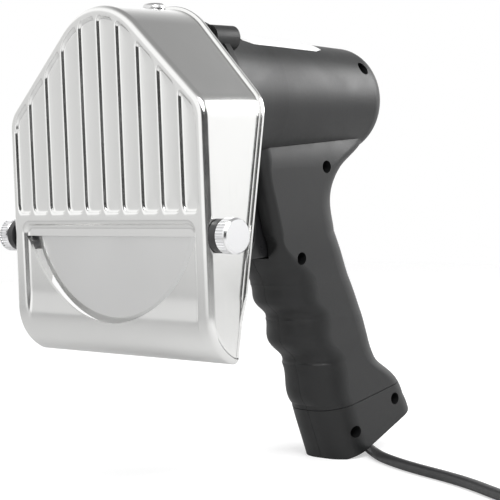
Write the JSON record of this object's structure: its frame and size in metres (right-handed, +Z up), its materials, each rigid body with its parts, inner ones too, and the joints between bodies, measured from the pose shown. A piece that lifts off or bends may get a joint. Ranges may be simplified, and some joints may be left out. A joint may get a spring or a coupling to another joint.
{
  "type": "electric kebab slicer",
  "caption": "Hand-held electric slicer: a motor in a pistol grip turns a round blade behind a ribbed sheet guard that slides to set the slice thickness.",
  "frame": {"origin": "bottom centre of the slicer's bounding box without its cord, on the surface it stands on", "axes": "+Z up; +X to the right seen from the front; the ribbed guard faces -Y and the motor barrel runs back along +Y"},
  "size_m": [0.2992, 0.1702, 0.1961],
  "materials": {
    "stainless": "bright stainless sheet",
    "steel": "machined steel",
    "chrome": "chromed brass or steel",
    "zinc": "dark zinc-plated or blacked steel",
    "cast": "cast aluminium",
    "shell_plastic": "dark grey textured moulded plastic",
    "black_plastic": "black moulded plastic",
    "nylon": "pale nylon",
    "rubber": "black flexible PVC or rubber",
    "bronze": "sintered bronze or brass",
    "copper": "copper windings and segments",
    "magnet": "dark ferrite",
    "carbon": "carbon",
    "board": "fibreglass circuit board"
  },
  "bodies": {
    "guard": {"blade_guard": "stainless", "guard_top_screw": "chrome", "guard_guide_block": "nylon"},
    "knob_right": {"thumb_knob_right": "chrome", "knob_washer_right": "black_plastic"},
    "knob_left": {"thumb_knob_left": "chrome", "knob_washer_left": "black_plastic"},
    "housing": {"guard_carrier": "steel", "carrier_screws": "zinc", "gearbox_cover": "cast", "gearbox_case": "cast", "gearbox_screws": "zinc", "spindle_bush_front": "bronze", "spindle_bush_rear": "bronze", "shaft_seal": "rubber", "motor_flange": "black_plastic", "flange_screws": "zinc", "motor_can": "steel", "motor_bearings": "bronze", "field_magnets": "magnet", "motor_end_bell": "black_plastic", "carbon_brushes": "carbon", "handle_shell_right": "shell_plastic", "handle_shell_left": "shell_plastic", "shell_screws": "zinc", "end_cap_right": "shell_plastic", "end_cap_left": "shell_plastic", "end_cap_screws": "zinc", "trigger_spring": "steel", "switch_body": "black_plastic", "rectifier_board": "board", "board_parts": "black_plastic", "cord_clamp": "black_plastic", "clamp_screws": "zinc", "strain_relief": "rubber", "power_cord": "rubber", "cord_coil": "rubber", "mains_plug": "rubber", "plug_pins": "chrome"},
    "blade": {"round_blade": "stainless", "blade_spindle": "steel", "blade_screw": "zinc", "blade_gear": "nylon", "spindle_circlip": "steel"},
    "armature": {"motor_shaft": "steel", "armature_core": "steel", "armature_winding": "copper", "commutator": "copper", "drive_pinion": "steel", "cooling_fan": "black_plastic"},
    "trigger": {"trigger": "black_plastic"}
  },
  "joints": [
    {"name": "guard_slide", "type": "slide", "parent": "housing", "child": "guard", "axis": [0, -1, 0], "range_m": [0, 0.008]},
    {"name": "knob_turn_right", "type": "hinge", "parent": "housing", "child": "knob_right", "pos_m": [0.06, -0.07852, 0.1057], "axis": [1, 0, 0], "continuous": true},
    {"name": "knob_turn_left", "type": "hinge", "parent": "housing", "child": "knob_left", "pos_m": [-0.06, -0.07852, 0.1057], "axis": [-1, 0, 0], "continuous": true},
    {"name": "blade_spin", "type": "hinge", "parent": "housing", "child": "blade", "pos_m": [0, -0.07842, 0.1209], "axis": [0, 1, 0], "continuous": true},
    {"name": "armature_spin", "type": "hinge", "parent": "housing", "child": "armature", "pos_m": [0, -0.01442, 0.1584], "axis": [0, 1, 0], "continuous": true},
    {"name": "trigger_pull", "type": "slide", "parent": "housing", "child": "trigger", "axis": [0, 0.9646, 0.2639], "range_m": [0, 0.005], "stiffness_N_per_m": 800, "springref_m": -0.003, "deforming": ["trigger_spring"]}
  ],
  "couplings": [
    {"joint": "armature_spin", "follows": "blade_spin", "ratio": -4}
  ]
}
